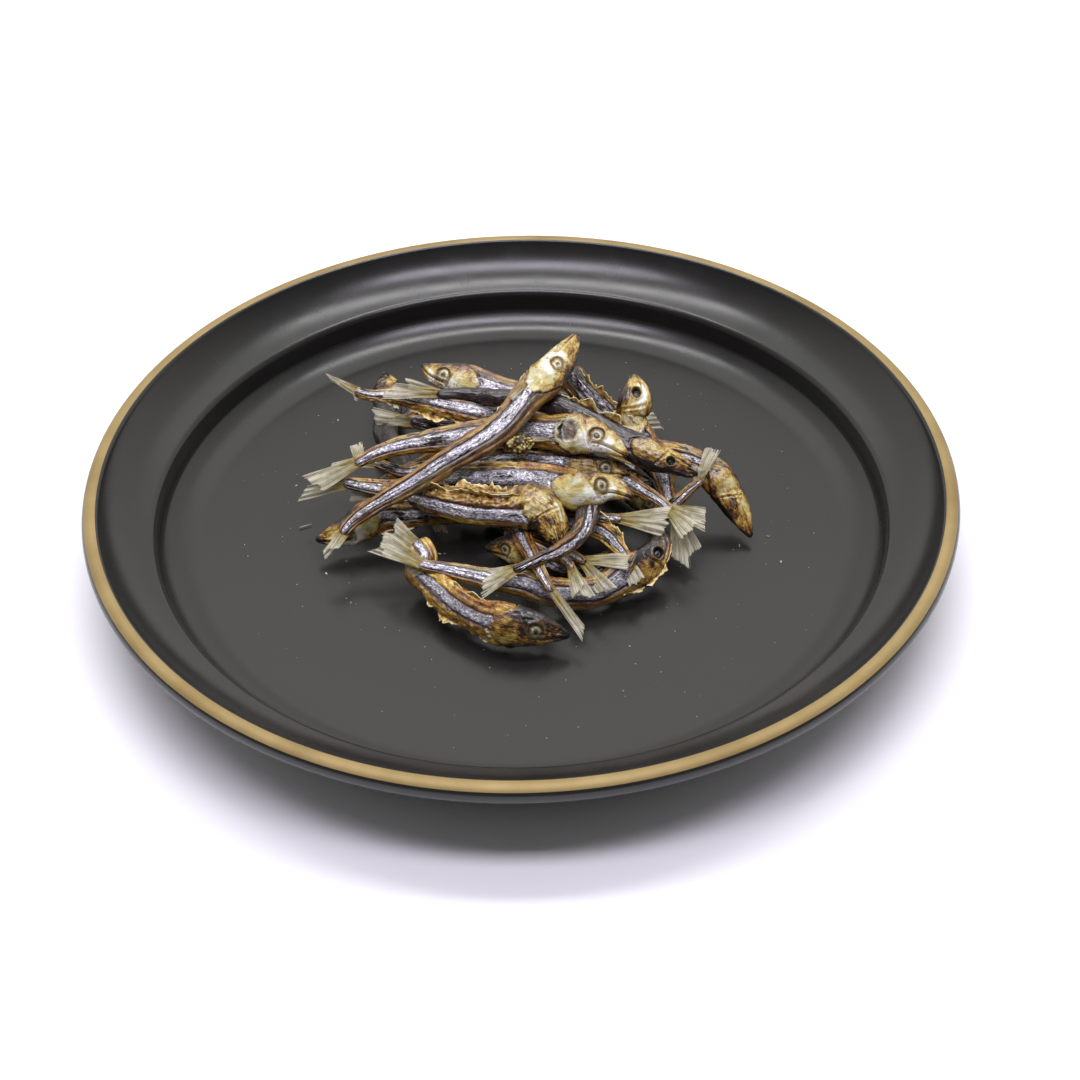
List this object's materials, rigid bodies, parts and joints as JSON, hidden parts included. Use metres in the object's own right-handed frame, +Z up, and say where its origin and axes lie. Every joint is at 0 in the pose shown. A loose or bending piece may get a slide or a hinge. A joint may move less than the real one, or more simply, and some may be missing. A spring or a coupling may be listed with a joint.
{
  "type": "plate of dried anchovies",
  "caption": "Shallow round coupe plate in satin black glaze with a gilt line on its lip, holding a loose heap of small dried fish in the middle.",
  "frame": {"origin": "centre of the plate's foot ring, on the surface that the plate stands on", "axes": "+Z up, the plate's axis; +X to the right and +Y away from the viewer of the picture"},
  "size_m": [0.2096, 0.2096, 0.0391],
  "materials": {
    "black_glaze": "satin black glaze on stoneware, with a gilt line round the lip",
    "dried_fish": "dried fish skin: silver flanks, dark backs, golden-brown bellies and heads"
  },
  "bodies": {
    "root": {"plate": "black_glaze", "anchovy_heap": "dried_fish"}
  },
  "joints": []
}
